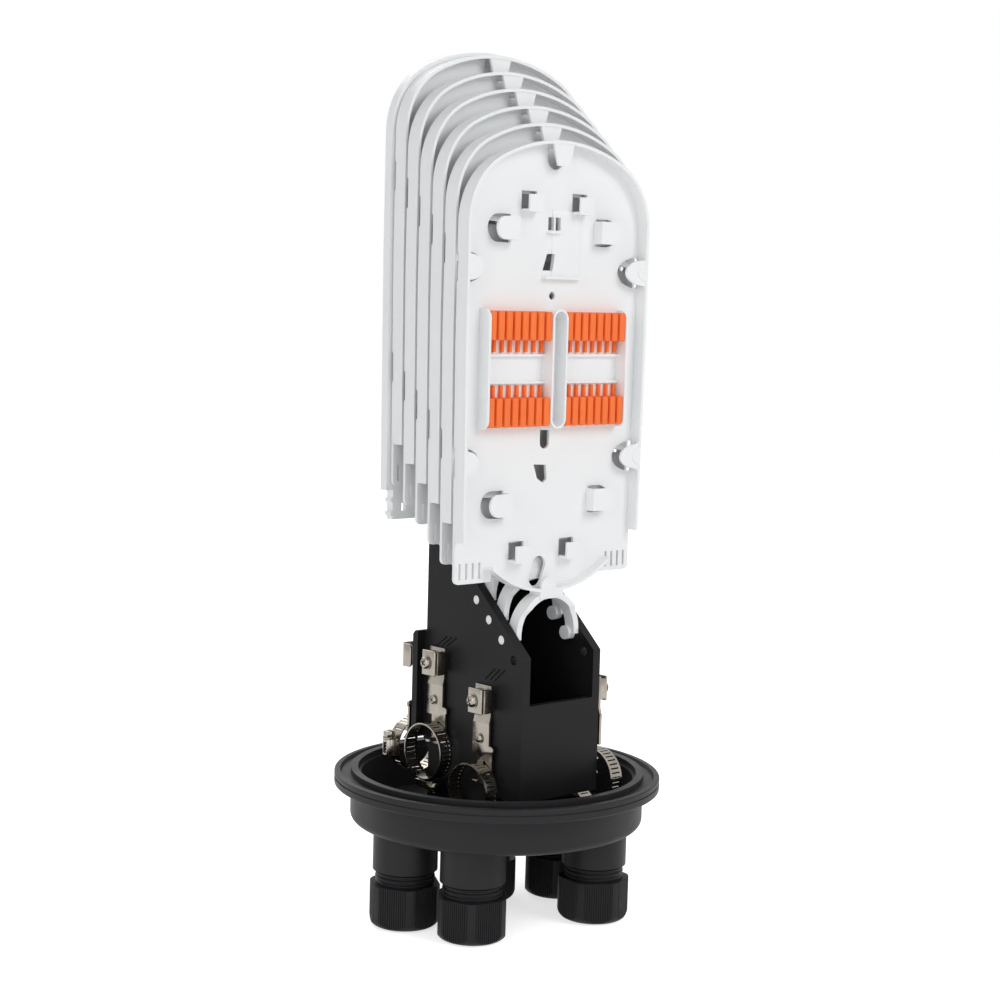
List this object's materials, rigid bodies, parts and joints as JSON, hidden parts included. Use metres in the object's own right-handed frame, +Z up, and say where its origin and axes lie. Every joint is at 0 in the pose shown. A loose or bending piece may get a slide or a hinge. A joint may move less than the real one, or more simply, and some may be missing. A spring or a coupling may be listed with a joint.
{
  "type": "dome splice closure",
  "caption": "Fibre splice closure opened without its dome: round base with cable glands, black frame with steel cable anchors, and a stack of hinged white splice trays with orange holders.",
  "frame": {"origin": "middle of the base's circle, on the surface that the gland nuts stand on", "axes": "+Z up through the trays, -Y the side to which the trays tip, +X along the tray hinges"},
  "size_m": [0.172, 0.172, 0.4497],
  "materials": {
    "base_black": "fine moulded grain",
    "frame_black": "satin moulded",
    "cover_black": "satin moulded",
    "nut_black": "ribbed, satin",
    "seal_rubber": "matt",
    "tray_white": "smooth moulded",
    "comb_orange": "soft moulded",
    "steel": "bright plated"
  },
  "bodies": {
    "closure": {"base": "base_black", "frame": "frame_black", "frame_screws": "steel", "rear_plate": "cover_black", "anchor_screws": "steel", "gland_seal_1": "seal_rubber", "bracket_1": "steel", "clamp_block_1": "steel", "hose_band_1": "steel", "worm_housing_1": "steel", "gland_seal_2": "seal_rubber", "bracket_2": "steel", "clamp_block_2": "steel", "hose_band_2": "steel", "worm_housing_2": "steel", "gland_seal_3": "seal_rubber", "bracket_3": "steel", "clamp_block_3": "steel", "hose_band_3": "steel", "worm_housing_3": "steel", "gland_seal_4": "seal_rubber", "bracket_4": "steel", "clamp_block_4": "steel", "hose_band_4": "steel", "worm_housing_4": "steel", "gland_seal_5": "seal_rubber", "bracket_5": "steel", "clamp_block_5": "steel", "hose_band_5": "steel", "worm_housing_5": "steel"},
    "tray_body_1": {"tray_1": "tray_white", "splice_holder_1": "comb_orange"},
    "tray_body_2": {"tray_2": "tray_white", "splice_holder_2": "comb_orange"},
    "tray_body_3": {"tray_3": "tray_white", "splice_holder_3": "comb_orange"},
    "tray_body_4": {"tray_4": "tray_white", "splice_holder_4": "comb_orange"},
    "tray_body_5": {"tray_5": "tray_white", "splice_holder_5": "comb_orange"},
    "tray_body_6": {"tray_6": "tray_white", "splice_holder_6": "comb_orange"},
    "nut_body_1": {"gland_nut_1": "nut_black"},
    "nut_body_2": {"gland_nut_2": "nut_black"},
    "nut_body_3": {"gland_nut_3": "nut_black"},
    "nut_body_4": {"gland_nut_4": "nut_black"},
    "nut_body_5": {"gland_nut_5": "nut_black"},
    "worm_body_1": {"worm_screw_1": "steel"},
    "worm_body_2": {"worm_screw_2": "steel"},
    "worm_body_3": {"worm_screw_3": "steel"},
    "worm_body_4": {"worm_screw_4": "steel"},
    "worm_body_5": {"worm_screw_5": "steel"}
  },
  "joints": [
    {"name": "tray_1_hinge", "type": "hinge", "parent": "closure", "child": "tray_body_1", "pos_m": [0, -0.0304, 0.1513], "axis": [1, 0, 0], "range_deg": [0, 85]},
    {"name": "tray_2_hinge", "type": "hinge", "parent": "closure", "child": "tray_body_2", "pos_m": [0, -0.0204, 0.1603], "axis": [1, 0, 0], "range_deg": [0, 85]},
    {"name": "tray_3_hinge", "type": "hinge", "parent": "closure", "child": "tray_body_3", "pos_m": [0, -0.0104, 0.1693], "axis": [1, 0, 0], "range_deg": [0, 85]},
    {"name": "tray_4_hinge", "type": "hinge", "parent": "closure", "child": "tray_body_4", "pos_m": [0, -0.0004, 0.1783], "axis": [1, 0, 0], "range_deg": [0, 85]},
    {"name": "tray_5_hinge", "type": "hinge", "parent": "closure", "child": "tray_body_5", "pos_m": [0, 0.0096, 0.1873], "axis": [1, 0, 0], "range_deg": [0, 85]},
    {"name": "tray_6_hinge", "type": "hinge", "parent": "closure", "child": "tray_body_6", "pos_m": [0, 0.0196, 0.1963], "axis": [1, 0, 0], "range_deg": [0, 85]},
    {"name": "gland_nut_1_turn", "type": "hinge", "parent": "closure", "child": "nut_body_1", "pos_m": [-0.0556, 0.0069, 0.0161], "axis": [0, 0, 1], "continuous": true},
    {"name": "gland_nut_2_turn", "type": "hinge", "parent": "closure", "child": "nut_body_2", "pos_m": [-0.0426, -0.0315, 0.0161], "axis": [0, 0, 1], "continuous": true},
    {"name": "gland_nut_3_turn", "type": "hinge", "parent": "closure", "child": "nut_body_3", "pos_m": [0.0316, -0.0431, 0.0161], "axis": [0, 0, 1], "continuous": true},
    {"name": "gland_nut_4_turn", "type": "hinge", "parent": "closure", "child": "nut_body_4", "pos_m": [0.0081, 0.0196, 0.0161], "axis": [0, 0, 1], "continuous": true},
    {"name": "gland_nut_5_turn", "type": "hinge", "parent": "closure", "child": "nut_body_5", "pos_m": [0.0471, 0.001, 0.0161], "axis": [0, 0, 1], "continuous": true},
    {"name": "worm_screw_1_turn", "type": "hinge", "parent": "closure", "child": "worm_body_1", "pos_m": [-0.0338, -0.03229, 0.0592], "axis": [0, -0.7071, 0.7071], "continuous": true},
    {"name": "worm_screw_2_turn", "type": "hinge", "parent": "closure", "child": "worm_body_2", "pos_m": [-0.0338, 0.01685, 0.06824], "axis": [0, -1, 0], "continuous": true},
    {"name": "worm_screw_3_turn", "type": "hinge", "parent": "closure", "child": "worm_body_3", "pos_m": [-0.04085, 0.0409, 0.08484], "axis": [0, 0, 1], "continuous": true},
    {"name": "worm_screw_4_turn", "type": "hinge", "parent": "closure", "child": "worm_body_4", "pos_m": [0.0338, -0.04075, 0.05684], "axis": [0, 1, 0], "continuous": true},
    {"name": "worm_screw_5_turn", "type": "hinge", "parent": "closure", "child": "worm_body_5", "pos_m": [0.0338, 0.01335, 0.06824], "axis": [0, 1, 0], "continuous": true}
  ],
  "couplings": [
    {"joint": "tray_2_hinge", "follows": "tray_1_hinge", "ratio": 1},
    {"joint": "tray_3_hinge", "follows": "tray_1_hinge", "ratio": 1},
    {"joint": "tray_4_hinge", "follows": "tray_1_hinge", "ratio": 1},
    {"joint": "tray_5_hinge", "follows": "tray_1_hinge", "ratio": 1},
    {"joint": "tray_6_hinge", "follows": "tray_1_hinge", "ratio": 1}
  ]
}
